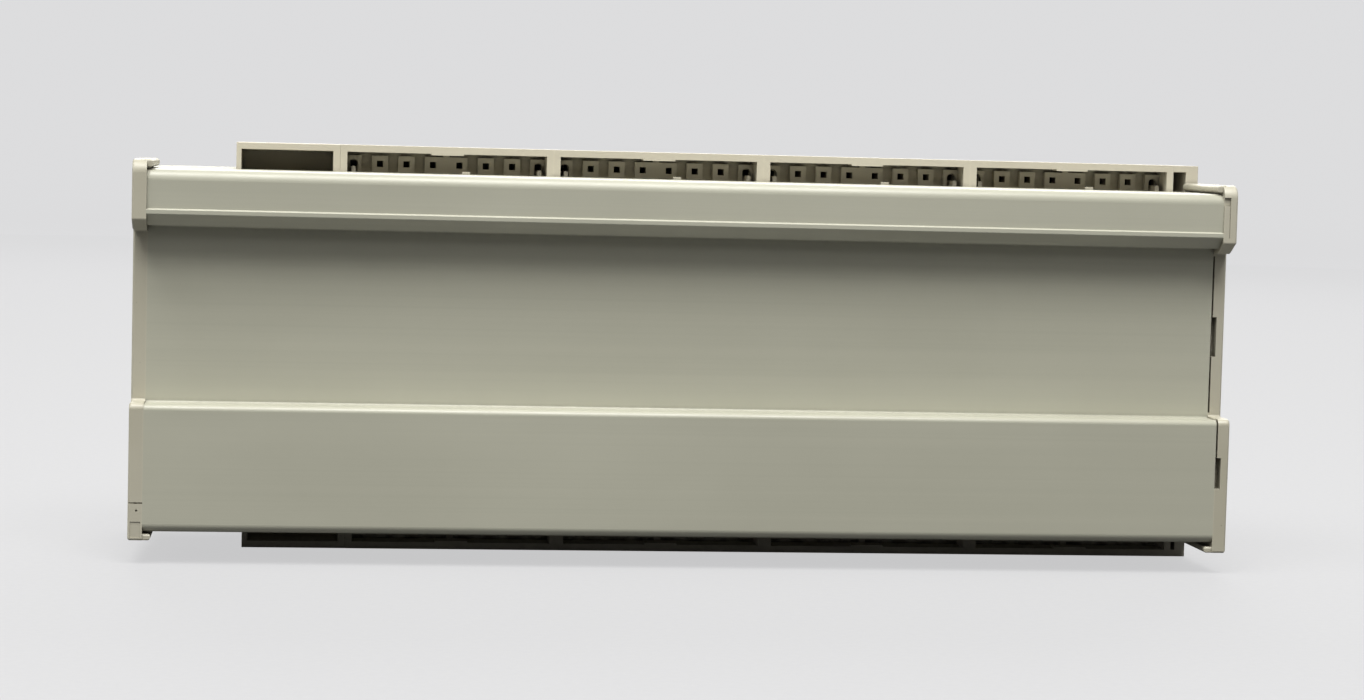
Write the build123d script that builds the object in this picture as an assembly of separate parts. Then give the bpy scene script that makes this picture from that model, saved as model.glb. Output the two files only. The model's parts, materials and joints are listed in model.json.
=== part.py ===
from build123d import *
import os

# Plug-in electronics module: a nose that goes into a terminal base, a row of sockets above and
# below it, and a front housing with lamps, address switches and a label behind a hinged cover.
# Sizes are in mm. Local axes: X runs along the module from the left end of the rear profile,
# Y runs forwards from its rear face and Z runs up from the underside of the profile.

# ---- Whole module ----
PITCH = 5.08
LENGTH = 200.6
HEIGHT = 65.9
NOSE_DEPTH = 25.0
DEPTH = 58.0
WALL = 2.0
CAP_THICKNESS = 2.6

# ---- Rear profile ----
UPPER_BULGE = 10.3
FLAT_BAND = 7.2
RIDGE = 1.0
RIDGE_PROUD = 0.4
CHAMFER_DEPTH = 2.6
RECESS_DEPTH = 6.2
LEDGE = 23.06
CHANNEL_Y = 12.0
CHANNEL_IN = 3.8
CHANNEL_RADIUS = 2.7
SKIRT = 0.25  # how far the lower bulge hangs below the housing

# ---- Socket rows ----
ROW_RISE = 5.1
ROW_DROP = 6.2
HOLE_TO_TOP = 3.52
HOLE_TO_FOOT = 5.2
SOCKET_DEPTH = 18.0
SOCKET_WAYS = 8
SOCKET_WALL = 1.3
POCKET_DEPTH = 7.3
BOSS_SET_BACK = 5.7
BOSS = 3.1
PIN_HOLE = 1.2
PEG = 0.76
PEG_FRONT = 2.4
PEG_Z = -0.85
THROAT_DEPTH = 3.4
CONTACT_CAVITY = 2.0
CONTACT_SLEEVE = 1.8
CONTACT_BORE = 1.3
UPPER_BLANK_LEFT = 15.39
UPPER_ROW_LEFT = 34.96
LOWER_BLANK_LEFT = 17.5
LOWER_ROW_LEFT = 37.1
ROW_RIGHT = 202.49

# ---- Boards ----
BOARD = 1.6
BOARD_Y = NOSE_DEPTH + SOCKET_DEPTH
LOGIC_Y = 16.0
PIN = 0.64
LINK_PITCH = 2.54

# ---- Cooling slots in the housing's shoulders ----
VENT_WIDTH = 1.8
VENT_PITCH = 4.0
VENT_COUNT = 26
VENT_LEFT = 60.0
VENT_REAR = 46.6
VENT_FRONT = 54.4

# ---- Screws ----
SCREW_RADIUS = 1.25
PILOT_RADIUS = 1.3
CLEAR_RADIUS = 1.5
HEAD_RADIUS = 2.5
HEAD_HEIGHT = 1.3

# ---- Front face ----
LAMP_Z = 54.0
LAMP_PITCH = 8.0
LAMP_RADIUS = 1.5
FLAP_LEFT = 24.0
FLAP_RIGHT = 156.0
FLAP_TOP = 47.0
HINGE_Z = 9.0
LUG_RADIUS = 1.6
HINGE_Y = DEPTH + LUG_RADIUS
HINGE_PIN_RADIUS = 0.8
ROTOR_RADIUS = 3.3
ROTOR_Z = 34.0
SLIDER_TRAVEL = 4.0
SLIDER_Z = 16.0

# The module's own origin: the middle of its length and depth, at the foot of the lower sockets.
ORIGIN = Pos(-LENGTH / 2, -(HINGE_Y + LUG_RADIUS) / 2, ROW_DROP)

UPPER_HOLE_Z = HEIGHT + ROW_RISE - HOLE_TO_TOP
LOWER_HOLE_Z = HOLE_TO_TOP - ROW_DROP
BLOCK_LENGTH = SOCKET_WAYS * PITCH


def box(x0, x1, y0, y1, z0, z1):
    """Rectangular solid between two corners."""
    return Pos((x0 + x1) / 2, (y0 + y1) / 2, (z0 + z1) / 2) * Box(x1 - x0, y1 - y0, z1 - z0)


def rod_x(y, z, x0, x1, radius):
    """Round bar along X."""
    return Pos((x0 + x1) / 2, y, z) * Rot(0, 90, 0) * Cylinder(radius, x1 - x0)


def rod_y(x, z, y0, y1, radius):
    """Round bar along Y."""
    return Pos(x, (y0 + y1) / 2, z) * Rot(90, 0, 0) * Cylinder(radius, y1 - y0)


def section(corners, x0, x1):
    """Solid along X from x0 to x1 whose outline has (y, z, radius) corners."""
    points = [(y, z) for y, z, radius in corners]
    radii = [radius for y, z, radius in corners]
    outline = FilletPolyline(*points, radius=radii, close=True)
    return extrude(Plane.YZ.offset(x0) * make_face(outline), x1 - x0)


def group(solids):
    """Several separate solids that share one node."""
    return Compound([part.solid() for part in solids])


def save(name, shape):
    """One sub-part in the module's own frame."""
    export_step(ORIGIN * shape, f"parts/{name}.step")


# ---- Rear profile: an extruded tray, open to the front ----


def rear_profile():
    underside = HEIGHT - UPPER_BULGE
    ridge_top = HEIGHT - FLAT_BAND
    outer = section(
        [
            (NOSE_DEPTH, HEIGHT, 0),
            (RIDGE_PROUD, HEIGHT, 2.0),
            (RIDGE_PROUD, ridge_top, 0.1),
            (0, ridge_top - 0.2, 0.1),
            (0, ridge_top - RIDGE, 0.3),
            (CHAMFER_DEPTH, underside, 0.5),
            (RECESS_DEPTH, underside, 0.4),
            (RECESS_DEPTH, LEDGE, 0.4),
            (0, LEDGE, 1.0),
            (0, -SKIRT, 1.5),
            (NOSE_DEPTH, -SKIRT, 0),
        ],
        0,
        LENGTH,
    )
    hollow = section(
        [
            (NOSE_DEPTH + 1, HEIGHT - WALL, 0),
            (RIDGE_PROUD + WALL, HEIGHT - WALL, 0.8),
            (RIDGE_PROUD + WALL, underside + WALL, 0.3),
            (RECESS_DEPTH + WALL, underside + WALL, 0.6),
            (RECESS_DEPTH + WALL, LEDGE - WALL, 0.6),
            (WALL, LEDGE - WALL, 0.3),
            (WALL, WALL, 0.3),
            (NOSE_DEPTH + 1, WALL, 0),
        ],
        -1,
        LENGTH + 1,
    )
    body = outer - hollow
    for z in (CHANNEL_IN, HEIGHT - CHANNEL_IN):
        wall_z = 0.5 * WALL if z < HEIGHT / 2 else HEIGHT - 0.5 * WALL
        web = box(0, LENGTH, CHANNEL_Y - 1, CHANNEL_Y + 1, min(z, wall_z), max(z, wall_z))
        body += rod_x(CHANNEL_Y, z, 0, LENGTH, CHANNEL_RADIUS) + web
        body -= rod_x(CHANNEL_Y, z, -1, LENGTH + 1, PILOT_RADIUS)
    for y in (LOGIC_Y - 1.1, LOGIC_Y + BOARD + 0.1):
        body += box(0, LENGTH, y, y + 1, WALL / 2, WALL + 1.5)
        body += box(0, LENGTH, y, y + 1, HEIGHT - WALL - 1.5, HEIGHT - WALL / 2)
    return body


# ---- End caps ----

CAP_TOP = HEIGHT + 1.7
LEFT_FOOT = -1.8
RIGHT_FOOT = -2.15
LIP_THICKNESS = 1.15
PANEL_DEPTH = 0.6
CAP_SCREWS = (
    (CHANNEL_Y, CHANNEL_IN),
    (CHANNEL_Y, HEIGHT - CHANNEL_IN),
    (DEPTH - 4.6, 8.0),
    (DEPTH - 4.6, HEIGHT - 8.0),
)


def cap_plate(x0, x1, foot):
    """Side plate: it follows the nose's outline and stands a little above and below it."""
    return section(
        [
            (0, CAP_TOP, 2.4),
            (NOSE_DEPTH - 0.1, CAP_TOP, 0.7),
            (NOSE_DEPTH - 0.1, HEIGHT - 0.1, 0),
            (DEPTH - 0.4, HEIGHT - 0.1, 1.5),
            (DEPTH - 0.4, 0.1, 1.5),
            (NOSE_DEPTH - 0.1, 0.1, 0),
            (NOSE_DEPTH - 0.1, foot, 0.5),
            (0, foot, 0.4),
            (0, LEDGE + 0.3, 1.2),
            (RECESS_DEPTH, LEDGE + 0.3, 0.4),
            (RECESS_DEPTH, HEIGHT - UPPER_BULGE - 1.0, 0.4),
            (3.6, HEIGHT - UPPER_BULGE - 1.0, 0.5),
            (0, HEIGHT - UPPER_BULGE + 1.0, 0.5),
        ],
        x0,
        x1,
    )


def lip(rear, low, high, length):
    """Hook that reaches over the profile: a bar along Y whose free end is rounded."""
    front = NOSE_DEPTH - 0.1
    corners = [(rear, low, 0.25), (rear, high, 0.4), (front, high, 0.6), (front, low, 0.4)]
    outline = section(corners, -0.5, length)
    bar = box(-0.5, length, rear - 1, front + 1, low, high)
    bar = fillet(bar.edges().filter_by(Axis.Y).group_by(Axis.X)[-1], 0.45 * (high - low))
    return outline.solid().intersect(bar)


def end_cap(foot):
    """Left cap. Its outer face is at x = -CAP_THICKNESS and its inner face at x = 0."""
    plate = cap_plate(-CAP_THICKNESS, 0, foot)
    plate = chamfer(plate.faces().sort_by(Axis.X)[0].outer_wire().edges(), 0.3)
    top_lip = lip(1.2, HEIGHT + 0.22, CAP_TOP, 1.1)
    bottom_lip = lip(0.3, foot, foot + LIP_THICKNESS, 1.5)
    panel = [(18, 12, 3), (47, 12, 3), (47, 54, 3), (18, 54, 3)]
    plate -= section(panel, -CAP_THICKNESS - 1, PANEL_DEPTH - CAP_THICKNESS)
    cap = plate + top_lip + bottom_lip
    for y, z in CAP_SCREWS:
        cap -= rod_x(y, z, -CAP_THICKNESS - 1, 1, CLEAR_RADIUS)
        cap -= rod_x(y, z, -CAP_THICKNESS - 1, HEAD_HEIGHT + 0.1 - CAP_THICKNESS, HEAD_RADIUS + 0.2)
    for z in (14.0, HEIGHT - 14.0):
        tab_y = RECESS_DEPTH + WALL + 0.1
        cap += box(-0.5, 2.5, tab_y, tab_y + 1.4, z - 3, z + 3)
    return cap


def left_end_cap():
    """The left cap has a small moulded step, a dimple and a shallow pad near its foot."""
    cap = end_cap(LEFT_FOOT)
    cap -= box(-CAP_THICKNESS - 1, 1, -1, 0.2, 4.9, 5.2)
    cap -= rod_y(1.54 - CAP_THICKNESS, 3.7, -1, 0.4, 0.22)
    return cap - box(0.4 - CAP_THICKNESS, -0.3, -1, 0.12, LEFT_FOOT + 0.5, 1.65)


def right_end_cap():
    """The right cap mirrors the left one and has latch slots along its seam with the profile."""
    cap = Pos(LENGTH, 0, 0) * mirror(end_cap(RIGHT_FOOT), about=Plane.YZ)
    slot_right = LENGTH + 1.1
    seam_right = LENGTH + 0.35
    cap -= box(LENGTH - 1, slot_right, RECESS_DEPTH - 1, RECESS_DEPTH + 2.2, 34.8, 42.4)
    cap -= box(LENGTH - 1, slot_right, -1, 2.2, 10.1, 16.0)
    cap -= box(LENGTH - 1, seam_right, RECESS_DEPTH - 1, RECESS_DEPTH + 1.6, LEDGE + 1, 54.0)
    cap -= box(LENGTH - 1, seam_right, -1, 1.8, 15.5, LEDGE + 1)
    cap -= box(LENGTH - 0.1, LENGTH + 1.2, -1, 0.4, 63.7, 65.3)
    return cap - box(LENGTH + 1.0, LENGTH + 1.2, -1, 0.12, 57.6, 63.8)


def cap_screw(x, y, z, outward):
    """Pan-head screw along X; outward is the way its head faces."""
    seat = x + outward * (CAP_THICKNESS - HEAD_HEIGHT - 0.1)
    tip = x - outward * 8.0
    top = seat + outward * HEAD_HEIGHT
    screw = rod_x(y, z, min(seat, tip), max(seat, tip), SCREW_RADIUS)
    screw += rod_x(y, z, min(seat, top), max(seat, top), HEAD_RADIUS)
    floor = top - outward * 0.8
    low, high = sorted((floor, top + outward))
    return screw - box(low, high, y - 1.5, y + 1.5, z - 0.3, z + 0.3) - box(
        low, high, y - 0.3, y + 0.3, z - 1.5, z + 1.5
    )


# ---- Front housing ----


def shoulder(blank_left, z0, z1):
    """Outer and inner boxes of the taller part of the housing, behind one row of sockets."""
    outer = box(blank_left + 0.2, ROW_RIGHT - 0.2, BOARD_Y + 0.05, DEPTH, z0, z1)
    inner = box(blank_left + 2.2, ROW_RIGHT - 2.2, BOARD_Y - 1, DEPTH - WALL, z0 + WALL, z1 - WALL)
    return outer, inner


BOARD_BOSSES = ((22.5, 56.0), (22.5, 14.0), (195.0, 50.0), (195.0, 14.0))
STATUS_LAMPS = (166.0, 182.0)
LAMPS_X = tuple(34 + LAMP_PITCH * i for i in range(16)) + STATUS_LAMPS
ROTOR_X = {"tens": 166.0, "units": 182.0}
SLIDER_X = 172.0


def front_housing():
    middle = HEIGHT / 2
    body = box(0, LENGTH, NOSE_DEPTH, DEPTH, 0, HEIGHT)
    upper_outer, upper_inner = shoulder(UPPER_BLANK_LEFT, middle, HEIGHT + ROW_RISE - 0.4)
    lower_outer, lower_inner = shoulder(LOWER_BLANK_LEFT, 0.4 - ROW_DROP, middle)
    body += upper_outer + lower_outer
    body = fillet(body.edges().filter_by(Axis.X).group_by(Axis.Y)[-1], 1.2)
    body -= box(-1, LENGTH + 1, NOSE_DEPTH - 1, DEPTH - WALL, WALL, HEIGHT - WALL)
    body -= upper_inner + lower_inner
    body -= box(LENGTH, ROW_RIGHT + 1, NOSE_DEPTH - 1, DEPTH + 1, 0, HEIGHT)
    body -= box(UPPER_BLANK_LEFT - 0.1, LENGTH + 1, NOSE_DEPTH - 1, BOARD_Y + 0.05, middle, HEIGHT + 1)
    body -= box(LOWER_BLANK_LEFT - 0.1, LENGTH + 1, NOSE_DEPTH - 1, BOARD_Y + 0.05, -1, middle)
    for y, z in CAP_SCREWS[2:]:
        for x0, x1 in ((0, 10), (LENGTH - 10, LENGTH)):
            body += rod_x(y, z, x0, x1, 2.8) - box(x0 - 1, x1 + 1, DEPTH, DEPTH + 2, z - 4, z + 4)
            body -= rod_x(y, z, x0 - 1, x1 + 1, PILOT_RADIUS)
    for i in range(VENT_COUNT):
        x = VENT_LEFT + VENT_PITCH * i
        body -= box(x, x + VENT_WIDTH, VENT_REAR, VENT_FRONT, HEIGHT + 1, HEIGHT + ROW_RISE + 1)
        body -= box(x, x + VENT_WIDTH, VENT_REAR, VENT_FRONT, -ROW_DROP - 1, -1)
    for x, z in BOARD_BOSSES:
        body += rod_y(x, z, BOARD_Y + BOARD, DEPTH - WALL + 0.5, 3.0)
        body -= rod_y(x, z, BOARD_Y, DEPTH - WALL, PILOT_RADIUS)
    for x in LAMPS_X:
        body -= rod_y(x, LAMP_Z, DEPTH - WALL - 1, DEPTH + 1, LAMP_RADIUS + 0.05)
    for x in ROTOR_X.values():
        body -= rod_y(x, ROTOR_Z, DEPTH - WALL - 1, DEPTH + 1, ROTOR_RADIUS + 0.3)
    slider_right = SLIDER_X + 3.4 + SLIDER_TRAVEL
    body -= box(SLIDER_X - 0.4, slider_right, 50, DEPTH + 1, SLIDER_Z - 1.6, SLIDER_Z + 1.6)
    body -= box(FLAP_LEFT + 3, FLAP_RIGHT - 3, DEPTH - 0.6, DEPTH + 1, 14, FLAP_TOP - 3)
    for x in (FLAP_LEFT - 3.0, FLAP_RIGHT + 0.4):
        lug = rod_x(HINGE_Y, HINGE_Z, x, x + 2.6, LUG_RADIUS)
        lug += box(x, x + 2.6, DEPTH - 0.5, HINGE_Y, HINGE_Z - LUG_RADIUS, HINGE_Z + LUG_RADIUS)
        body += lug - rod_x(HINGE_Y, HINGE_Z, x - 1, x + 4, HINGE_PIN_RADIUS)
    return body


# ---- Sockets: own frame with x = 0 mid-block, y = 0 at the open face, z = 0 on the pin holes ----


def hole_x(way):
    return (way - (SOCKET_WAYS - 1) / 2) * PITCH


def socket_block():
    half = BLOCK_LENGTH / 2
    floor_z = SOCKET_WALL - HOLE_TO_FOOT
    roof_z = HOLE_TO_TOP - SOCKET_WALL
    block = box(-half, half, 0, SOCKET_DEPTH, -HOLE_TO_FOOT, HOLE_TO_TOP)
    block -= box(SOCKET_WALL - half, half - SOCKET_WALL, -1, POCKET_DEPTH, floor_z, roof_z)
    block += box(-3.1, 3.1, 0, 4, roof_z - 0.3, roof_z + 0.5)
    block += box(2.85, 4.35, 0.3, 1.3, floor_z - 0.5, -1.1)
    block += box(-0.6, 0.6, BOSS_SET_BACK, POCKET_DEPTH + 1, floor_z - 0.5, roof_z + 0.5)
    block += box(-PITCH / 2, PITCH / 2, BOSS_SET_BACK, POCKET_DEPTH + 1, -BOSS / 2, BOSS / 2)
    for way in range(SOCKET_WAYS):
        x = hole_x(way)
        block += box(x - BOSS / 2, x + BOSS / 2, BOSS_SET_BACK, POCKET_DEPTH + 1, -BOSS / 2, BOSS / 2)
    for way in range(SOCKET_WAYS):
        x = hole_x(way)
        throat = PIN_HOLE / 2
        cavity = CONTACT_CAVITY / 2
        block -= box(x - throat, x + throat, BOSS_SET_BACK - 1, SOCKET_DEPTH + 1, -throat, throat)
        cavity_y = BOSS_SET_BACK + THROAT_DEPTH
        block -= box(x - cavity, x + cavity, cavity_y, SOCKET_DEPTH + 1, -cavity, cavity)
    for way in (0, SOCKET_WAYS - 1):
        x = hole_x(way)
        arch = box(x - 0.85, x + 0.85, BOSS_SET_BACK - 1, BOSS_SET_BACK + 1.4, -BOSS, 0)
        arch += rod_y(x, 0, BOSS_SET_BACK - 1, BOSS_SET_BACK + 1.4, 0.85)
        peg = box(x - PEG / 2, x + PEG / 2, PEG_FRONT, POCKET_DEPTH + 0.5, floor_z - 0.5, PEG_Z)
        peg += rod_y(x, PEG_Z, PEG_FRONT, POCKET_DEPTH + 0.5, PEG / 2)
        block = block - arch + peg
    return block


def contact():
    """Spring sleeve in its cavity, with a tail that goes through the main board."""
    start = BOSS_SET_BACK + THROAT_DEPTH + 0.2
    outer = CONTACT_SLEEVE / 2
    bore = CONTACT_BORE / 2
    sleeve = box(-outer, outer, start, 15.5, -outer, outer)
    sleeve -= box(-bore, bore, start - 1, 14.5, -bore, bore)
    half = PIN / 2
    return sleeve + box(-half, half, 14.5, SOCKET_DEPTH + BOARD + 1.4, -half, half)


def upper(x, shape):
    return Pos(x, NOSE_DEPTH, UPPER_HOLE_Z) * shape


def lower(x, shape):
    """The same moulding turned end for end, so that its roof faces down."""
    return Pos(x, NOSE_DEPTH, LOWER_HOLE_Z) * Rot(0, 180, 0) * shape


ROWS = {
    "upper": (upper, UPPER_BLANK_LEFT, UPPER_ROW_LEFT),
    "lower": (lower, LOWER_BLANK_LEFT, LOWER_ROW_LEFT),
}


def row_z(row):
    """Lowest and highest level of a row of sockets."""
    if row == "upper":
        return UPPER_HOLE_Z - HOLE_TO_FOOT, UPPER_HOLE_Z + HOLE_TO_TOP
    return LOWER_HOLE_Z - HOLE_TO_TOP, LOWER_HOLE_Z + HOLE_TO_FOOT


def blank_block(row):
    """Empty pocket at the left end of a row."""
    left, right = ROWS[row][1:]
    z0, z1 = row_z(row)
    shell = box(left, right, NOSE_DEPTH, BOARD_Y, z0, z1)
    y0 = NOSE_DEPTH - 1
    roof = (z0 + SOCKET_WALL, z1 - SOCKET_WALL)
    return shell - box(left + 0.95, right - 1.36, y0, BOARD_Y - 2, *roof)


def end_block(row):
    """Closing piece at the right end of a row, with a narrow slot beside the last socket."""
    left = ROWS[row][2] + 4 * BLOCK_LENGTH
    z0, z1 = row_z(row)
    shell = box(left, ROW_RIGHT, NOSE_DEPTH, BOARD_Y, z0, z1)
    shell -= box(LENGTH - 0.1, ROW_RIGHT + 1, 0, DEPTH, -0.05, HEIGHT + 0.05)
    slot_right = max(200.06, left + 0.8)
    y0 = NOSE_DEPTH - 1
    roof = (z0 + SOCKET_WALL, z1 - SOCKET_WALL)
    return shell - box(left - 1, slot_right, y0, BOARD_Y - 3, *roof)


# ---- Boards and what stands on them ----

STANDOFFS = ((46.0, 58.0), (46.0, 9.0), (174.0, 58.0), (174.0, 9.0))
FUSE_Z = 36.5
LINK_X = 110.0
LINK_Z = 40.0
LINK_WAYS = 10
LINK_LEFT = LINK_X - 13
LINK_RIGHT = LINK_X + 13
LINK_LOW = LINK_Z - 2.5
LINK_HIGH = LINK_Z + 2.5


def main_board():
    board = box(20.2, 199.7, BOARD_Y, BOARD_Y + BOARD, -3.4, 68.2)
    for row, (place, blank_left, left) in ROWS.items():
        z = UPPER_HOLE_Z if row == "upper" else LOWER_HOLE_Z
        for way in range(4 * SOCKET_WAYS):
            x = left + (way + 0.5) * PITCH
            board -= rod_y(x, z, BOARD_Y - 1, BOARD_Y + BOARD + 1, 0.5)
    for x, z in BOARD_BOSSES + STANDOFFS:
        board -= rod_y(x, z, BOARD_Y - 1, BOARD_Y + BOARD + 1, CLEAR_RADIUS)
    return board


def logic_board():
    board = box(10.0, 190.0, LOGIC_Y, LOGIC_Y + BOARD, WALL + 0.15, HEIGHT - WALL - 0.15)
    for x, z in STANDOFFS:
        board -= rod_y(x, z, LOGIC_Y - 1, LOGIC_Y + BOARD + 1, CLEAR_RADIUS)
    for x, z in link_pin_places():
        board -= rod_y(x, z, LOGIC_Y - 1, LOGIC_Y + BOARD + 1, 0.5)
    return board


def standoff(x, z):
    """Hexagonal spacer between the boards, tapped at both ends."""
    y0 = LOGIC_Y + BOARD
    hexagon = RegularPolygon(2.75, 6, major_radius=False)
    body = Pos(x, y0, z) * Rot(-90, 0, 0) * extrude(hexagon, BOARD_Y - y0)
    return body - rod_y(x, z, y0 - 1, BOARD_Y + 1, PILOT_RADIUS)


def board_screw(x, z, seat, direction, length):
    """Screw along Y; direction is the way its head faces from its seat."""
    tip = seat - direction * length
    top = seat + direction * 1.8
    screw = rod_y(x, z, min(seat, tip), max(seat, tip), SCREW_RADIUS)
    screw += rod_y(x, z, min(seat, top), max(seat, top), HEAD_RADIUS)
    low, high = sorted((top - direction * 0.9, top + direction))
    return screw - box(x - 2, x + 2, low, high, z - 0.3, z + 0.3)


def chip(x, z, y, direction, length, width, height, pins):
    """Flat package on a board face at y with rows of legs; direction is away from the board."""
    near = y + direction * 0.4
    far = y + direction * height
    rear, front = sorted((near, far))
    body = box(x - length / 2, x + length / 2, rear, front, z - width / 2, z + width / 2)
    low, high = sorted((y, y + direction * height * 0.5))
    for i in range(pins):
        leg_x = x + (i - (pins - 1) / 2) * length / pins
        body += box(leg_x - 0.25, leg_x + 0.25, low, high, z - width / 2 - 0.7, z + width / 2 + 0.7)
    return body


def can(x, z, y, direction, radius, height):
    """Round capacitor can with a crimp groove near its foot."""
    low, high = sorted((y, y + direction * height))
    groove_low, groove_high = sorted((y + direction * 1.5, y + direction * 2.3))
    groove = rod_y(x, z, groove_low, groove_high, radius + 1)
    groove -= rod_y(x, z, groove_low - 1, groove_high + 1, radius - 0.35)
    return rod_y(x, z, low, high, radius) - groove


def optocouplers():
    return [chip(x, 44.0, BOARD_Y + BOARD, 1, 5.0, 6.4, 3.4, 2) for x in LAMPS_X[:16]]


def output_drivers():
    return [chip(x, 26.0, BOARD_Y, -1, 19.3, 6.4, 3.6, 8) for x in (48.0, 74.0, 130.0, 156.0)]


def resistor_networks():
    networks = []
    for x in (40.0, 66.0, 92.0, 118.0, 144.0):
        networks.append(box(x - 10, x + 10, BOARD_Y - 6.0, BOARD_Y, 46.0, 48.4))
    return networks


def filter_capacitors():
    return [can(x, 12.0, BOARD_Y, -1, 5.0, 16.0) for x in (60.0, 73.0, 86.0)]


def bus_transformer():
    """Isolating transformer: a bobbin between the two legs of its core."""
    core = box(135, 151, BOARD_Y - 12, BOARD_Y, 4.5, 19.5)
    core -= box(138, 148, BOARD_Y - 13, BOARD_Y - 2, 3, 8)
    core -= box(138, 148, BOARD_Y - 13, BOARD_Y - 2, 16, 21)
    return core


def regulator():
    """Power regulator: a plastic body with a metal tab and three legs."""
    body = box(95, 105, BOARD_Y - 15, BOARD_Y - 5, 10, 14.4)
    for x in (97.5, 100, 102.5):
        body += box(x - 0.4, x + 0.4, BOARD_Y - 6, BOARD_Y, 11.5, 12.2)
    return body


def heat_sink():
    sink = box(93, 107, BOARD_Y - 18, BOARD_Y, 14.45, 16.2)
    for x in (93, 96.1, 99.2, 102.3, 105.4):
        sink += box(x, x + 1.6, BOARD_Y - 18, BOARD_Y - 1, 15.5, 21)
    return sink


def crystal():
    can_body = box(150, 157, LOGIC_Y - 3.6, LOGIC_Y, 38, 41.5)
    for x in (150, 157):
        can_body += rod_y(x, 39.75, LOGIC_Y - 3.6, LOGIC_Y, 1.75)
    return can_body


def fuse():
    return rod_x(BOARD_Y - 5, FUSE_Z, 34, 54, 2.5)


def fuse_clips():
    clips = []
    for x in (36.5, 51.5):
        clip = rod_x(BOARD_Y - 5, FUSE_Z, x - 2, x + 2, 3.0)
        clip += box(x - 2, x + 2, BOARD_Y - 5, BOARD_Y, FUSE_Z - 1.4, FUSE_Z + 1.4)
        clip -= rod_x(BOARD_Y - 5, FUSE_Z, x - 3, x + 3, 2.55)
        clip -= box(x - 3, x + 3, BOARD_Y - 9, BOARD_Y - 6.4, FUSE_Z - 4, FUSE_Z + 4)
        clips.append(clip)
    return clips


def link_header():
    front = LOGIC_Y + BOARD
    return box(LINK_LEFT, LINK_RIGHT, front, front + 2.5, LINK_LOW, LINK_HIGH)


def link_pin(x, z):
    half = PIN / 2
    return box(x - half, x + half, LOGIC_Y - 1.4, BOARD_Y - 3, z - half, z + half)


def link_pin_places():
    return [
        (LINK_X + (i - (LINK_WAYS - 1) / 2) * LINK_PITCH, LINK_Z + side)
        for i in range(LINK_WAYS)
        for side in (-LINK_PITCH / 2, LINK_PITCH / 2)
    ]


def link_socket():
    return box(LINK_LEFT, LINK_RIGHT, BOARD_Y - 8.5, BOARD_Y, LINK_LOW, LINK_HIGH)


def lamp(x):
    """Small lamp: a domed body on a collar."""
    y = BOARD_Y + BOARD
    return rod_y(x, LAMP_Z, y, y + 0.8, 1.7) + rod_y(x, LAMP_Z, y, y + 2.6, 1.45) + Pos(
        x, y + 2.6, LAMP_Z
    ) * Sphere(1.45)


def light_guide(x):
    """Clear rod from the lamp to just proud of the front face, with a retaining collar."""
    guide = rod_y(x, LAMP_Z, BOARD_Y + BOARD + 4.6, DEPTH + 0.3, LAMP_RADIUS)
    return guide + rod_y(x, LAMP_Z, DEPTH - WALL - 1.2, DEPTH - WALL, LAMP_RADIUS + 0.6)


# ---- Label and its hinged cover ----


def label_strip():
    return box(FLAP_LEFT + 3.4, FLAP_RIGHT - 3.4, DEPTH - 0.55, DEPTH - 0.25, 14.4, FLAP_TOP - 3.4)


def label_flap():
    """Clear cover with a barrel along its lower edge and a finger lip along its upper edge."""
    plate = box(FLAP_LEFT, FLAP_RIGHT, DEPTH + 0.5, DEPTH + 1.9, HINGE_Z, FLAP_TOP)
    plate = fillet(plate.edges().filter_by(Axis.Y).group_by(Axis.Z)[-1], 2.0)
    lip = box(82, 98, DEPTH + 0.5, DEPTH + 3.1, FLAP_TOP - 1.6, FLAP_TOP)
    barrel = rod_x(HINGE_Y, HINGE_Z, FLAP_LEFT, FLAP_RIGHT, LUG_RADIUS - 0.1)
    bore = rod_x(HINGE_Y, HINGE_Z, FLAP_LEFT - 1, FLAP_LEFT + 6, HINGE_PIN_RADIUS + 0.05)
    bore += rod_x(HINGE_Y, HINGE_Z, FLAP_RIGHT - 6, FLAP_RIGHT + 1, HINGE_PIN_RADIUS + 0.05)
    return plate + lip + barrel - bore


def flap_pins():
    return [
        rod_x(HINGE_Y, HINGE_Z, FLAP_LEFT - 3.0, FLAP_LEFT + 5, HINGE_PIN_RADIUS),
        rod_x(HINGE_Y, HINGE_Z, FLAP_RIGHT - 5, FLAP_RIGHT + 3.0, HINGE_PIN_RADIUS),
    ]


# ---- Switches ----


def address_body(x):
    low = BOARD_Y + BOARD
    body = box(x - 5, x + 5, low, 52, ROTOR_Z - 5, ROTOR_Z + 5)
    return body - rod_y(x, ROTOR_Z, 47.8, 53, 2.05)


def address_rotor(x):
    """Turned with a small screwdriver: its slot ends in an arrow head."""
    head_top = DEPTH - 0.3
    rotor = rod_y(x, ROTOR_Z, 48, 52.5, 2.0) + rod_y(x, ROTOR_Z, 52.3, head_top, ROTOR_RADIUS)
    rotor -= box(x - 0.45, x + 0.45, head_top - 1.2, head_top + 1, ROTOR_Z - 2.5, ROTOR_Z + 1.2)
    triangle = extrude(RegularPolygon(1.4, 3, rotation=90), 1.7)
    return rotor - Pos(x, head_top + 0.5, ROTOR_Z + 1.1) * Rot(90, 0, 0) * triangle


def termination_body():
    x0 = SLIDER_X - 1.6
    x1 = SLIDER_X + 4.6 + SLIDER_TRAVEL
    body = box(x0, x1, BOARD_Y + BOARD, 54, SLIDER_Z - 3, SLIDER_Z + 3)
    return body - box(x0 + 0.9, x1 - 0.9, 49.5, 55, SLIDER_Z - 1.7, SLIDER_Z + 1.7)


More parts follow.
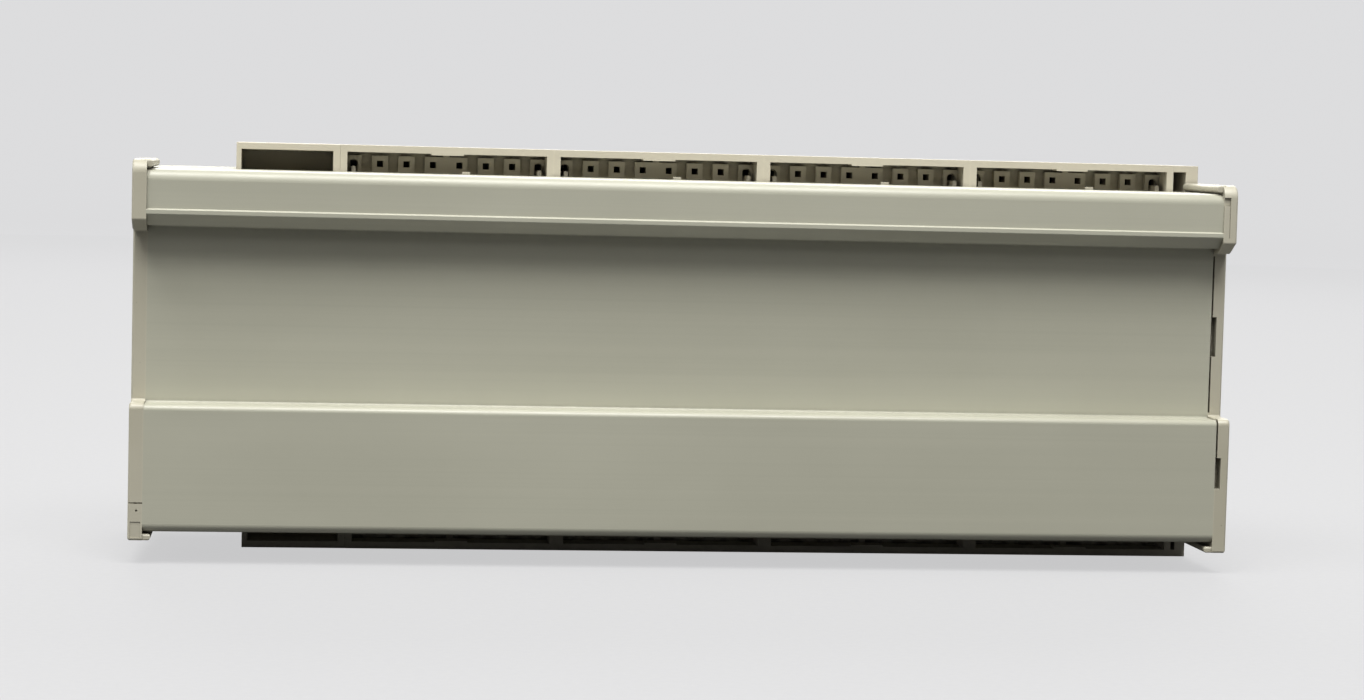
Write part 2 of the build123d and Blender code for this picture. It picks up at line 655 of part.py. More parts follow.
def termination_slider():
    shoe = box(SLIDER_X - 0.4, SLIDER_X + 3.4, 50, 53, SLIDER_Z - 1.4, SLIDER_Z + 1.4)
    knob = box(SLIDER_X, SLIDER_X + 3, 52.9, DEPTH + 0.6, SLIDER_Z - 1.2, SLIDER_Z + 1.2)
    for i in range(3):
        x = SLIDER_X + 0.75 * (i + 1)
        knob -= box(x - 0.15, x + 0.15, DEPTH + 0.3, DEPTH + 1, SLIDER_Z - 2, SLIDER_Z + 2)
    return shoe + knob


def main():
    os.makedirs("parts", exist_ok=True)
    save("rear_profile", rear_profile())
    save("front_housing", front_housing())
    save("left_end_cap", left_end_cap())
    save("right_end_cap", right_end_cap())
    screws = [cap_screw(0, y, z, -1) for y, z in CAP_SCREWS]
    screws += [cap_screw(LENGTH, y, z, 1) for y, z in CAP_SCREWS]
    save("cap_screws", group(screws))

    block = socket_block()
    spring = contact()
    for row, (place, blank_left, left) in ROWS.items():
        for i in range(4):
            centre = left + (i + 0.5) * BLOCK_LENGTH
            save(f"{row}_socket_{i + 1}", place(centre, block))
            contacts = [place(centre, Pos(hole_x(way), 0, 0) * spring) for way in range(SOCKET_WAYS)]
            save(f"{row}_contacts_{i + 1}", group(contacts))
        save(f"{row}_blank_block", blank_block(row))
        save(f"{row}_end_block", end_block(row))

    save("main_board", main_board())
    save("logic_board", logic_board())
    save("board_standoffs", group([standoff(x, z) for x, z in STANDOFFS]))
    joins = [board_screw(x, z, LOGIC_Y, -1, 7) for x, z in STANDOFFS]
    joins += [board_screw(x, z, BOARD_Y + BOARD, 1, 7) for x, z in STANDOFFS]
    save("standoff_screws", group(joins))
    save("board_screws", group([board_screw(x, z, BOARD_Y, -1, 9) for x, z in BOARD_BOSSES]))
    save("link_header", link_header() - group([link_pin(x, z) for x, z in link_pin_places()]))
    save("link_pins", group([link_pin(x, z) for x, z in link_pin_places()]))
    save("link_socket", link_socket() - group([link_pin(x, z) for x, z in link_pin_places()]))

    save("optocouplers", group(optocouplers()))
    save("output_drivers", group(output_drivers()))
    save("resistor_networks", group(resistor_networks()))
    save("filter_capacitors", group(filter_capacitors()))
    save("bus_transformer", bus_transformer())
    save("voltage_regulator", regulator())
    save("regulator_heat_sink", heat_sink())
    save("fuse", fuse())
    save("fuse_clips", group(fuse_clips()))
    save("processor_chip", chip(125, 26.0, LOGIC_Y, -1, 16.5, 16.5, 4.2, 11))
    save("memory_chip", chip(86, 26.0, LOGIC_Y, -1, 36.0, 13.7, 4.0, 14))
    save("bus_controller_chip", chip(60, 40.0, LOGIC_Y, -1, 19.3, 6.4, 3.6, 8))
    save("crystal", crystal())
    save("status_leds", group([lamp(x) for x in LAMPS_X]))
    save("light_guides", group([light_guide(x) for x in LAMPS_X]))

    save("label_strip", label_strip())
    save("label_flap", label_flap())
    save("flap_pins", group(flap_pins()))
    for name, x in ROTOR_X.items():
        save(f"address_switch_{name}", address_body(x))
        save(f"address_rotor_{name}", address_rotor(x))
    save("termination_switch", termination_body())
    save("termination_slider", termination_slider())


main()
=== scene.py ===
import json
import math

import bmesh
import bpy
from mathutils import Matrix, Vector


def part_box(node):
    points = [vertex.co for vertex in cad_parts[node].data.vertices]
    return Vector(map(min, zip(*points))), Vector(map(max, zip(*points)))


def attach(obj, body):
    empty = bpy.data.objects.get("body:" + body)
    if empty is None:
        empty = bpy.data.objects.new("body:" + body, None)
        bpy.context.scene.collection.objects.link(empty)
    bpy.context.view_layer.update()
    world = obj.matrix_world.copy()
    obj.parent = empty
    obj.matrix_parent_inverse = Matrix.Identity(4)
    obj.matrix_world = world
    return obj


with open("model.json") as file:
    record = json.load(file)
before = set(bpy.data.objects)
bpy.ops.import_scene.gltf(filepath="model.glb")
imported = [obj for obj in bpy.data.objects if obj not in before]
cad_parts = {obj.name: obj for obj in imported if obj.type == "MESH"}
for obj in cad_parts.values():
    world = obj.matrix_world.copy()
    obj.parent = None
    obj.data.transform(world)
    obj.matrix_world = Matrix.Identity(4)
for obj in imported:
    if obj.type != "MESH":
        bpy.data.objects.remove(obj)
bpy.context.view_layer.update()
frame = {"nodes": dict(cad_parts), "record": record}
nodes = frame["nodes"]
MM = 0.001

# ---------------------------------------------------------------- places taken from the CAD nodes


def node_box(node):
    """Lowest and highest corner of a node's box."""
    low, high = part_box(node)
    return Vector(low), Vector(high)


LAMP_PITCH = 8.0 * MM
CHANNELS = 16
GUIDE_COLLAR = 2.1 * MM  # radius of a light guide's collar, its widest part
GUIDE_PROUD = 0.3 * MM  # how far a light guide stands out of the front face
guides_low, guides_high = node_box("light_guides")
FRONT_Y = guides_high.y - GUIDE_PROUD
LAMP_Z = (guides_low.z + guides_high.z) / 2
ROW_START = guides_low.x + GUIDE_COLLAR
ROTORS = {tag: sum(node_box(f"address_rotor_{tag}"), Vector()) / 2 for tag in ("tens", "units")}
LAMPS = [ROW_START + LAMP_PITCH * i for i in range(CHANNELS)] + [at.x for at in ROTORS.values()]

card_low, card_high = node_box("label_strip")
CARD_LEFT = ROW_START - LAMP_PITCH / 2
CARD_RIGHT = card_high.x - 1.5 * MM
CARD_ROWS = [card_low.z + d * MM for d in (3.0, 12.0, 21.0, 26.0)]
CARD_RULE = 0.1 * MM  # half the width of a printed rule

# ---------------------------------------------------------------- materials


class Surface:
    """A node material in the making. Its methods add nodes and return sockets."""

    def __init__(self, name, roughness=0.5, specular=0.4):
        self.material = bpy.data.materials.new(name)
        self.material.use_nodes = True
        self.tree = self.material.node_tree
        self.shader = self.tree.nodes["Principled BSDF"]
        self.shader.inputs["Roughness"].default_value = roughness
        self.shader.inputs["Specular IOR Level"].default_value = specular
        self.place = self.tree.nodes.new("ShaderNodeTexCoord").outputs["Object"]

    def link(self, source, target):
        """Feeds a socket from another socket, or sets it to a number or a colour."""
        if isinstance(source, (int, float)):
            target.default_value = source
        elif isinstance(source, tuple):
            target.default_value = (*source, 1.0) if len(source) == 3 else source
        else:
            self.tree.links.new(source, target)

    def noise(self, size, stretch=(1, 1, 1), detail=3.0, roughness=0.5):
        """Noise with features of about that size in millimetres, longer along an axis by its stretch."""
        mapping = self.tree.nodes.new("ShaderNodeMapping")
        for i in range(3):
            mapping.inputs["Scale"].default_value[i] = 1.0 / (size * MM * stretch[i])
        self.tree.links.new(self.place, mapping.inputs["Vector"])
        texture = self.tree.nodes.new("ShaderNodeTexNoise")
        texture.inputs["Scale"].default_value = 1.0
        texture.inputs["Detail"].default_value = detail
        texture.inputs["Roughness"].default_value = roughness
        self.tree.links.new(mapping.outputs["Vector"], texture.inputs["Vector"])
        return texture.outputs["Fac"]

    def ramp(self, factor, low, high, start=0.0, end=1.0):
        """Numbers from start to end as the factor goes from low to high."""
        node = self.tree.nodes.new("ShaderNodeMapRange")
        node.interpolation_type = "SMOOTHSTEP"
        values = (factor, low, high, start, end)
        for socket, value in zip(("Value", "From Min", "From Max", "To Min", "To Max"), values):
            self.link(value, node.inputs[socket])
        return node.outputs["Result"]

    def mix(self, factor, a, b):
        """Colour that goes from a to b with the factor."""
        node = self.tree.nodes.new("ShaderNodeMix")
        node.data_type = "RGBA"
        self.link(factor, node.inputs[0])
        self.link(a, node.inputs[6])
        self.link(b, node.inputs[7])
        return node.outputs[2]

    def calc(self, a, b, how="ADD"):
        """Arithmetic on two numbers."""
        node = self.tree.nodes.new("ShaderNodeMath")
        node.operation = how
        self.link(a, node.inputs[0])
        self.link(b, node.inputs[1])
        return node.outputs[0]

    def crease(self, distance, inside=False, own=False):
        """1 on open surfaces, falling towards 0 in creases, or at edges if inside is true.

        With own, only the piece's own shape counts, and not what stands in front of it.
        """
        node = self.tree.nodes.new("ShaderNodeAmbientOcclusion")
        node.samples = 6
        node.inside = inside
        node.only_local = own
        node.inputs["Distance"].default_value = distance * MM
        return node.outputs["AO"]

    def bump(self, height, depth, strength=1.0, normal=None):
        """Relief of a depth in millimetres, laid over an earlier relief if one is given."""
        node = self.tree.nodes.new("ShaderNodeBump")
        node.inputs["Distance"].default_value = depth * MM
        node.inputs["Strength"].default_value = strength
        self.link(height, node.inputs["Height"])
        if normal is not None:
            self.link(normal, node.inputs["Normal"])
        return node.outputs["Normal"]

    def finish(self, color, roughness, normal=None):
        """Connects the shader and returns the material."""
        self.link(color, self.shader.inputs["Base Color"])
        self.link(roughness, self.shader.inputs["Roughness"])
        if normal is not None:
            self.link(normal, self.shader.inputs["Normal"])
        return self.material


def moulded_plastic(
    name,
    tone,
    shade,
    grime_and_shade,
    grain=0.35,
    gloss=(0.42, 0.58),
    lines=False,
    specks=0.0,
    own=False,
    worn=0.25,
):
    """Old plastic: slow drifts of colour, fine grain, painted shade and patchy soiling in the creases,
    and paler edges, part wear and part painted highlight.

    The tone drifts to the shade. The grain is in millimetres and the gloss is the range of
    roughness. Lines are an extrusion's drawing marks, specks are dots of soiling, own keeps the
    painted crease shade and soiling to the piece's own creases, and worn is how pale the edges are, part
    wear and part painted highlight.
    """
    s = Surface(name, 0.5, 0.5)
    drift = s.ramp(s.noise(38, (2.5, 1, 1), 4), 0.35, 0.68)
    color = s.mix(drift, tone, shade)
    if lines:
        streaks = s.noise(0.55, (400, 1, 1), 2, 0.6)
        broad = s.noise(3.0, (120, 1, 1), 2, 0.5)
        color = s.mix(s.ramp(streaks, 0.42, 0.75, 0.0, 0.16), color, tuple(0.82 * c for c in tone))
        color = s.mix(s.ramp(broad, 0.4, 0.7, 0.0, 0.14), color, tuple(1.12 * c for c in tone))
    cloud = s.noise(6, (1, 1, 1), 6, 0.65)
    color = s.mix(s.ramp(cloud, 0.5, 0.8, 0.0, 0.18), color, shade)
    # Painted shade: creases found by ambient occlusion darken towards the dark colour, in noise patches
    # that also stand for soiling.
    open_air = s.crease(1.6, own=own)
    patch = s.noise(2.2, (1, 1, 1), 5, 0.7)
    dirt_and_crease_shade = s.ramp(open_air, 0.25, 0.8, 0.75, 0.0)
    dirt_and_crease_shade = s.calc(dirt_and_crease_shade, s.ramp(patch, 0.3, 0.6, 0.25, 1.0), "MULTIPLY")
    color = s.mix(dirt_and_crease_shade, color, grime_and_shade)
    if specks:
        speck = s.ramp(s.noise(0.9, (1, 1, 1), 1, 0.4), 0.76, 0.8, 0.0, specks)
        color = s.mix(speck, color, grime_and_shade)
    # Paler edges: part real wear, part a painted highlight where edges would catch the light.
    edge = s.ramp(s.crease(0.4, inside=True), 0.3, 0.75, worn, 0.0)
    color = s.mix(edge, color, tuple(1.3 * c for c in tone))
    rough = s.ramp(s.noise(9, (1, 1, 1), 5, 0.6), 0.3, 0.7, gloss[0], gloss[1])
    rough = s.calc(rough, s.calc(dirt_and_crease_shade, 0.25, "MULTIPLY"))
    normal = s.bump(s.noise(grain, (1, 1, 1), 3, 0.6), 0.02, 0.35)
    if lines:
        normal = s.bump(streaks, 0.012, 0.6, normal)
    return s.finish(color, rough, normal)


def metal(name, tone, shade, roughness=(0.22, 0.42), brush=(1, 1, 1), cavity_shade=False):
    """Bare metal with fine scratches, drawn out by the brush. With the flag set, its cavities are painted
    almost black as painted shade.
    """
    s = Surface(name)
    s.shader.inputs["Metallic"].default_value = 1.0
    color = s.mix(s.ramp(s.noise(2.5, (1, 1, 1), 5, 0.6), 0.35, 0.7), tone, shade)
    # Painted shade: the colour goes almost black in cavities found by ambient occlusion.
    if cavity_shade:
        color = s.mix(s.ramp(s.crease(3.0), 0.25, 0.85, 0.96, 0.0), color, (0.012, 0.011, 0.01))
    scratch = s.noise(0.25, brush, 4, 0.6)
    rough = s.ramp(scratch, 0.3, 0.7, roughness[0], roughness[1])
    return s.finish(color, rough, s.bump(scratch, 0.006, 0.5))


def board_laminate():
    """Green solder mask with paler tracks and a woven glass ground."""
    s = Surface("board_laminate", 0.35, 0.5)
    weave = s.noise(0.5, (6, 1, 1), 2)
    tracks = s.ramp(s.noise(2.4, (4, 1, 1), 1, 0.3), 0.52, 0.54)
    color = s.mix(tracks, (0.018, 0.10, 0.045), (0.03, 0.19, 0.075))
    color = s.mix(s.ramp(weave, 0.4, 0.7, 0, 0.25), color, (0.10, 0.22, 0.10))
    return s.finish(color, s.ramp(weave, 0.3, 0.7, 0.28, 0.42), s.bump(tracks, 0.03, 0.6))


def clear_plastic(name):
    """Clear moulding, hardly tinted, with faint handling scratches."""
    s = Surface(name, 0.05, 0.5)
    s.shader.inputs["Transmission Weight"].default_value = 0.95
    s.shader.inputs["IOR"].default_value = 1.45
    tint = s.mix(s.ramp(s.noise(14, (1, 1, 1), 3), 0.35, 0.7), (0.97, 0.98, 0.96), (0.93, 0.95, 0.92))
    scratches = s.noise(0.35, (40, 1, 2), 4, 0.7)
    rough = s.ramp(scratches, 0.55, 0.85, 0.03, 0.14)
    return s.finish(tint, rough, s.bump(scratches, 0.0008, 0.2))


def lamp_lens():
    """Milky window of a lamp that is off, faintly green, with a moulded grain."""
    s = Surface("lamp_lens", 0.22, 0.5)
    s.shader.inputs["Transmission Weight"].default_value = 0.25
    cloud = s.noise(0.8, (1, 1, 1), 3, 0.6)
    color = s.mix(s.ramp(cloud, 0.3, 0.7), (0.34, 0.50, 0.30), (0.28, 0.43, 0.25))
    return s.finish(color, s.ramp(cloud, 0.3, 0.7, 0.16, 0.3), s.bump(s.noise(0.2), 0.004, 0.4))


def label_card():
    """White card with a ruled box for each channel and a title band, and no lettering."""
    s = Surface("label_card", 0.75, 0.2)
    fibre = s.noise(0.5, (1, 1, 1), 5, 0.7)
    paper = s.mix(s.ramp(fibre, 0.35, 0.7), (0.80, 0.785, 0.72), (0.74, 0.725, 0.655))
    stain = s.ramp(s.noise(16, (1, 1, 1), 4, 0.6), 0.5, 0.8, 0.0, 0.35)
    paper = s.mix(stain, paper, (0.66, 0.61, 0.48))
    split = s.tree.nodes.new("ShaderNodeSeparateXYZ")
    s.tree.links.new(s.place, split.inputs[0])
    x, z = split.outputs["X"], split.outputs["Z"]

    def between(value, low, high):
        return s.calc(s.calc(value, high, "LESS_THAN"), s.calc(value, low, "GREATER_THAN"), "MULTIPLY")

    phase = s.calc(s.calc(x, CARD_LEFT, "SUBTRACT"), LAMP_PITCH, "DIVIDE")
    phase = s.calc(s.calc(phase, 0.5), 1.0, "MODULO")
    apart = s.calc(s.calc(phase, 0.5, "SUBTRACT"), 0.0, "ABSOLUTE")
    rule = s.calc(apart, CARD_RULE / LAMP_PITCH, "LESS_THAN")
    rule = s.calc(rule, between(z, CARD_ROWS[0], CARD_ROWS[-1]), "MULTIPLY")
    for level in CARD_ROWS:
        apart = s.calc(s.calc(z, level, "SUBTRACT"), 0.0, "ABSOLUTE")
        rule = s.calc(rule, s.calc(apart, CARD_RULE, "LESS_THAN"), "MAXIMUM")
    rule = s.calc(rule, between(x, CARD_LEFT, CARD_RIGHT), "MULTIPLY")
    worn = s.ramp(s.noise(0.8, (1, 1, 1), 3, 0.6), 0.25, 0.6, 0.45, 0.95)
    color = s.mix(s.calc(rule, worn, "MULTIPLY"), paper, (0.09, 0.11, 0.16))
    return s.finish(color, s.ramp(fibre, 0.3, 0.7, 0.68, 0.84), s.bump(fibre, 0.015, 0.4))


def lamp_plastic():
    """Clear green plastic of the lamps on the board."""
    s = Surface("lamp_plastic", 0.25, 0.5)
    color = s.mix(s.ramp(s.noise(1.2, (1, 1, 1), 3), 0.3, 0.7), (0.10, 0.32, 0.08), (0.16, 0.42, 0.12))
    s.shader.inputs["Transmission Weight"].default_value = 0.4
    return s.finish(color, s.ramp(s.noise(0.7), 0.3, 0.7, 0.2, 0.35))


def print_ink():
    """Dark grey pad print, a little worn."""
    s = Surface("print_ink", 0.5, 0.4)
    wear = s.noise(0.6, (1, 1, 1), 4, 0.7)
    color = s.mix(s.ramp(wear, 0.5, 0.75, 0.0, 0.45), (0.03, 0.032, 0.036), (0.22, 0.215, 0.18))
    return s.finish(color, s.ramp(wear, 0.3, 0.7, 0.42, 0.6), s.bump(wear, 0.004, 0.4))


# Dark colour of the soiling and of the painted shade in creases.
GRIME_AND_SHADE = (0.075, 0.062, 0.042)
MATERIALS = {
    "profile_plastic": moulded_plastic(
        "profile_plastic", (0.43, 0.425, 0.345), (0.395, 0.39, 0.315), GRIME_AND_SHADE, 0.3, (0.3, 0.42),
        lines=True, worn=0.05
    ),
    "housing_plastic": moulded_plastic(
        "housing_plastic", (0.43, 0.425, 0.345), (0.395, 0.385, 0.31), GRIME_AND_SHADE, 0.45, (0.46, 0.6), own=True
    ),
    # The caps' edges are painted markedly paler, as wear and as painted highlight.
    "cap_plastic": moulded_plastic(
        "cap_plastic", (0.455, 0.432, 0.345), (0.395, 0.372, 0.288), GRIME_AND_SHADE, 0.4, (0.32, 0.46),
        specks=0.6, worn=0.6
    ),
    "socket_plastic": moulded_plastic(
        "socket_plastic", (0.54, 0.505, 0.41), (0.485, 0.45, 0.36), GRIME_AND_SHADE, 0.35, (0.4, 0.55)
    ),
    "rotor_plastic": moulded_plastic(
        "rotor_plastic", (0.66, 0.63, 0.52), (0.58, 0.55, 0.44), GRIME_AND_SHADE, 0.3, (0.35, 0.5)
    ),
    "black_plastic": moulded_plastic(
        "black_plastic", (0.018, 0.018, 0.02), (0.028, 0.028, 0.03), (0.01, 0.01, 0.01), 0.3, (0.4, 0.55)
    ),
    "resistor_coat": moulded_plastic(
        "resistor_coat", (0.32, 0.05, 0.025), (0.25, 0.035, 0.02), (0.05, 0.01, 0.01), 0.5, (0.2, 0.32)
    ),
    "screw_steel": metal("screw_steel", (0.60, 0.60, 0.60), (0.48, 0.47, 0.45)),
    # The contacts' cavities are painted almost black: painted shade.
    "contact_tin": metal("contact_tin", (0.72, 0.70, 0.66), (0.58, 0.56, 0.52), (0.28, 0.45), cavity_shade=True),
    "spacer_brass": metal("spacer_brass", (0.72, 0.52, 0.22), (0.60, 0.42, 0.17)),
    "can_aluminium": metal("can_aluminium", (0.76, 0.77, 0.78), (0.66, 0.67, 0.68), brush=(1, 8, 1)),
    "ferrite": moulded_plastic("ferrite", (0.06, 0.06, 0.062), (0.09, 0.088, 0.085), GRIME_AND_SHADE, 0.2),
    "fuse_glass": clear_plastic("fuse_glass"),
    "clear_plastic": clear_plastic("clear_plastic"),
    "board_laminate": board_laminate(),
    "label_card": label_card(),
    "lamp_plastic": lamp_plastic(),
}


def soften(piece, width):
    """Rounds a CAD node's sharp edges by a hair, as every moulded edge is."""
    weld = piece.modifiers.new("weld", "WELD")
    weld.merge_threshold = 1e-6
    bevel = piece.modifiers.new("bevel", "BEVEL")
    bevel.width = width * MM
    bevel.segments = 2
    bevel.limit_method = "ANGLE"
    bevel.angle_limit = math.radians(32)
    bevel.use_clamp_overlap = True
    bevel.harden_normals = False


for part in frame["record"]["subparts"]:
    node = nodes[part["node"]]
    for i in range(len(node.data.materials)):
        node.data.materials[i] = MATERIALS[part["material_slot"]]

# ---------------------------------------------------------------- stage, light and camera

STAGE_FLAT = 1.7
STAGE_CURVE = 0.8
STAGE_HEIGHT = 2.2
STAGE_STEPS = 72
CURVE_STEPS = 12
GLOW_NEAR = 0.4  # the floor's look goes over into the wall's between these distances
GLOW_FAR = 2.0
FLOOR_GLOW = 0.57
WALL_GLOW = 0.705
AIM = (0, 0, 0.04)  # the middle of the module, where the lamps point
STUDIO_WHITE = (1.0, 0.995, 0.98)


def stage_bowl():
    """Pale floor that curves up into a round wall, so that it looks plain from every side."""
    outline = [(STAGE_FLAT, 0.0)]
    for i in range(1, CURVE_STEPS + 1):
        turn = math.radians(90 * i / CURVE_STEPS)
        radius = STAGE_FLAT + STAGE_CURVE * math.sin(turn)
        outline.append((radius, STAGE_CURVE * (1 - math.cos(turn))))
    outline.append((STAGE_FLAT + STAGE_CURVE, STAGE_HEIGHT))
    angles = [2 * math.pi * k / STAGE_STEPS for k in range(STAGE_STEPS)]
    mesh = bmesh.new()
    rings = []
    for radius, z in outline:
        rings.append([mesh.verts.new((radius * math.cos(a), radius * math.sin(a), z)) for a in angles])
    mesh.faces.new(rings[0])
    for low, high in zip(rings, rings[1:]):
        for k in range(STAGE_STEPS):
            after = (k + 1) % STAGE_STEPS
            mesh.faces.new((low[k], low[after], high[after], high[k]))
    for face in mesh.faces:
        face.smooth = len(face.verts) == 4
    data = bpy.data.meshes.new("floor")
    mesh.to_mesh(data)
    mesh.free()
    floor = bpy.data.objects.new("floor", data)
    bpy.context.scene.collection.objects.link(floor)
    data.materials.append(floor_paper())


def floor_paper():
    """Pale paper. It glows towards the eye, but throws little light up on the module."""
    s = Surface("floor_paper", 0.85, 0.1)
    fine = s.noise(1.5, (1, 1, 1), 4, 0.6)
    color = s.mix(s.ramp(fine, 0.3, 0.7), (0.092, 0.092, 0.093), (0.088, 0.088, 0.089))
    away = s.tree.nodes.new("ShaderNodeVectorMath")
    away.operation = "LENGTH"
    s.tree.links.new(s.place, away.inputs[0])
    distance = away.outputs["Value"]
    color = s.mix(s.ramp(distance, GLOW_NEAR, GLOW_FAR), color, (0.03, 0.03, 0.031))
    glow = s.ramp(distance, GLOW_NEAR, GLOW_FAR, FLOOR_GLOW, WALL_GLOW)
    reflected = s.tree.nodes.new("ShaderNodeLightPath").outputs["Is Reflection Ray"]
    glow = s.calc(glow, s.calc(1.0, reflected, "SUBTRACT"), "MULTIPLY")
    s.shader.inputs["Emission Color"].default_value = (1.0, 1.0, 1.012, 1)
    s.link(glow, s.shader.inputs["Emission Strength"])
    return s.finish(color, s.ramp(fine, 0.3, 0.7, 0.8, 0.9))


def area_light(name, place, size, power):
    """Soft rectangular lamp aimed at the module."""
    data = bpy.data.lights.new(name, "AREA")
    data.shape = "RECTANGLE"
    data.size, data.size_y = size
    data.energy = power
    data.color = STUDIO_WHITE
    lamp = bpy.data.objects.new(name, data)
    lamp.location = place
    lamp.rotation_euler = (Vector(AIM) - Vector(place)).to_track_quat("-Z", "Y").to_euler()
    bpy.context.scene.collection.objects.link(lamp)


def make_world(color, strength):
    """Faint even light from all round."""
    world = bpy.data.worlds.new("studio")
    bpy.context.scene.world = world
    world.use_nodes = True
    background = world.node_tree.nodes["Background"]
    background.inputs["Color"].default_value = (*color, 1)
    background.inputs["Strength"].default_value = strength


def make_camera():
    """The camera stands behind the module, a little to its left, looking slightly down."""
    place = Vector((-70.415, -595.549, 79.41)) * MM
    forward = Vector((0.11984, 0.99050, -0.06745))
    right = Vector((0.99264, -0.11834, 0.02574))
    up = right.cross(forward)
    data = bpy.data.cameras.new("camera")
    data.lens = 81.29
    data.sensor_width = 36.0
    data.clip_start = 0.01
    data.clip_end = 20
    camera = bpy.data.objects.new("camera", data)
    bpy.context.scene.collection.objects.link(camera)
    turn = Matrix((right, up, -forward)).transposed().to_4x4()
    camera.matrix_world = Matrix.Translation(place) @ turn
    bpy.context.scene.camera = camera


stage_bowl()
make_world((1.0, 1.0, 1.01), 0.04)
area_light("key", (-0.12, -0.52, 1.25), (1.5, 0.75), 35.5)
area_light("front_fill", (-0.25, -1.1, 0.9), (1.2, 0.6), 3)
area_light("back_key", (0.15, 1.25, 0.75), (1.3, 0.7), 14)
area_light("left_fill", (-1.3, 0.1, 0.6), (0.6, 0.6), 5)
area_light("right_fill", (1.3, 0.1, 0.6), (0.6, 0.6), 5)
make_camera()
bpy.context.scene.view_settings.view_transform = "Standard"

# ---------------------------------------------------------------- edges of the CAD nodes

SOCKET_EDGE = 0.1
SOFT_EDGES = {
    "rear_profile": 0.12,
    "front_housing": 0.2,
    "left_end_cap": 0.26,
    "right_end_cap": 0.26,
    "label_flap": 0.15,
    "termination_slider": 0.12,
    "address_rotor_tens": 0.1,
    "address_rotor_units": 0.1,
}
for row in ("upper", "lower"):
    for piece in ("socket_1", "socket_2", "socket_3", "socket_4", "blank_block", "end_block"):
        SOFT_EDGES[f"{row}_{piece}"] = SOCKET_EDGE
for name, width in SOFT_EDGES.items():
    soften(nodes[name], width)

# ---------------------------------------------------------------- small pieces on the front


def add_piece(name, mesh, material, body, smooth=False):
    """New object from a bmesh, riding on a body."""
    for face in mesh.faces:
        face.smooth = smooth
    data = bpy.data.meshes.new(name)
    bmesh.ops.recalc_face_normals(mesh, faces=mesh.faces)
    mesh.to_mesh(data)
    mesh.free()
    data.materials.append(material)
    piece = bpy.data.objects.new(name, data)
    bpy.context.scene.collection.objects.link(piece)
    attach(piece, body)
    return piece


def slab(mesh, low, high):
    """Box between two corners, given in metres."""
    corners = [
        mesh.verts.new((x, y, z))
        for x in (low[0], high[0])
        for y in (low[1], high[1])
        for z in (low[2], high[2])
    ]
    for face in ((0, 1, 3, 2), (4, 6, 7, 5), (0, 4, 5, 1), (2, 3, 7, 6), (0, 2, 6, 4), (1, 5, 7, 3)):
        mesh.faces.new([corners[i] for i in face])


def lathe(mesh, x, outline, steps=32):
    """Turns an outline about a lamp's axis. Its points are radii and heights off the front, in mm."""
    rings = []
    for k in range(steps):
        turn = 2 * math.pi * k / steps
        across, along = math.cos(turn) * MM, math.sin(turn) * MM
        points = [(x + r * across, FRONT_Y + rise * MM, LAMP_Z + r * along) for r, rise in outline]
        rings.append([mesh.verts.new(point) for point in points])
    for a, b in zip(rings, rings[1:] + rings[:1]):
        for i in range(len(outline)):
            j = (i + 1) % len(outline)
            mesh.faces.new((a[i], a[j], b[j], b[i]))


def front_place(x, z, turn=0.0):
    """Frame on the front face: its x runs to the viewer's right, its y up and its z out."""
    face = Matrix(((-1, 0, 0), (0, 0, 1), (0, 1, 0))).to_4x4()
    return Matrix.Translation((x, FRONT_Y, z)) @ face @ Matrix.Rotation(turn, 4, "Z")


INK_RISE = 0.02 * MM


def ink_bar(mesh, place, x0, x1, y0, y1):
    """Printed bar, in millimetres on a front_place frame."""
    part = bmesh.new()
    slab(part, (x0 * MM, y0 * MM, -INK_RISE), (x1 * MM, y1 * MM, INK_RISE))
    part.transform(place)
    copy = bpy.data.meshes.new("bar")
    part.to_mesh(copy)
    part.free()
    mesh.from_mesh(copy)
    bpy.data.meshes.remove(copy)


def ink_digit(mesh, digit, place, height):
    """Printed numeral centred on a front_place frame."""
    text = bpy.data.curves.new("numeral", "FONT")
    text.body = str(digit)
    text.size = height * MM / 0.7
    text.extrude = INK_RISE
    text.resolution_u = 3
    text.align_x = "CENTER"
    text.align_y = "CENTER"
    holder = bpy.data.objects.new("numeral", text)
    outline = bpy.data.meshes.new_from_object(holder)
    outline.transform(place)
    mesh.from_mesh(outline)
    bpy.data.objects.remove(holder)
    bpy.data.curves.remove(text)
    bpy.data.meshes.remove(outline)


INK = print_ink()
LENS = lamp_lens()
HOUSING = MATERIALS["housing_plastic"]

STROKE = 0.12  # half the width of a printed line

# Moulded ring round each lamp window.
RING_OUTLINE = [(1.62, -0.1), (1.62, 0.22), (1.72, 0.32), (1.98, 0.32), (2.18, 0.18), (2.3, -0.1)]
rings = bmesh.new()
for x in LAMPS:
    lathe(rings, x, RING_OUTLINE)
soften(add_piece("lamp_rings", rings, HOUSING, "housing", True), 0.05)

# Domed lens in each ring, over the end of its light guide.
LENS_RADIUS = 1.44
LENS_DOME = 0.34
LENS_FOOT = 0.2
LENS_EDGE = 0.3
LENS_TIP = 0.02
DOME_STEPS = 6
dome_angles = [math.pi / 2 * k / DOME_STEPS for k in range(DOME_STEPS)]
dome = [(LENS_RADIUS * math.cos(a), LENS_EDGE + LENS_DOME * math.sin(a)) for a in dome_angles]
lens_outline = [(LENS_TIP, LENS_FOOT), (LENS_RADIUS, LENS_FOOT), *dome, (LENS_TIP, LENS_EDGE + LENS_DOME)]
lenses = bmesh.new()
for x in LAMPS:
    lathe(lenses, x, lens_outline, 28)
add_piece("lamp_lenses", lenses, LENS, "housing", True)
nodes["light_guides"].data.materials[0] = LENS

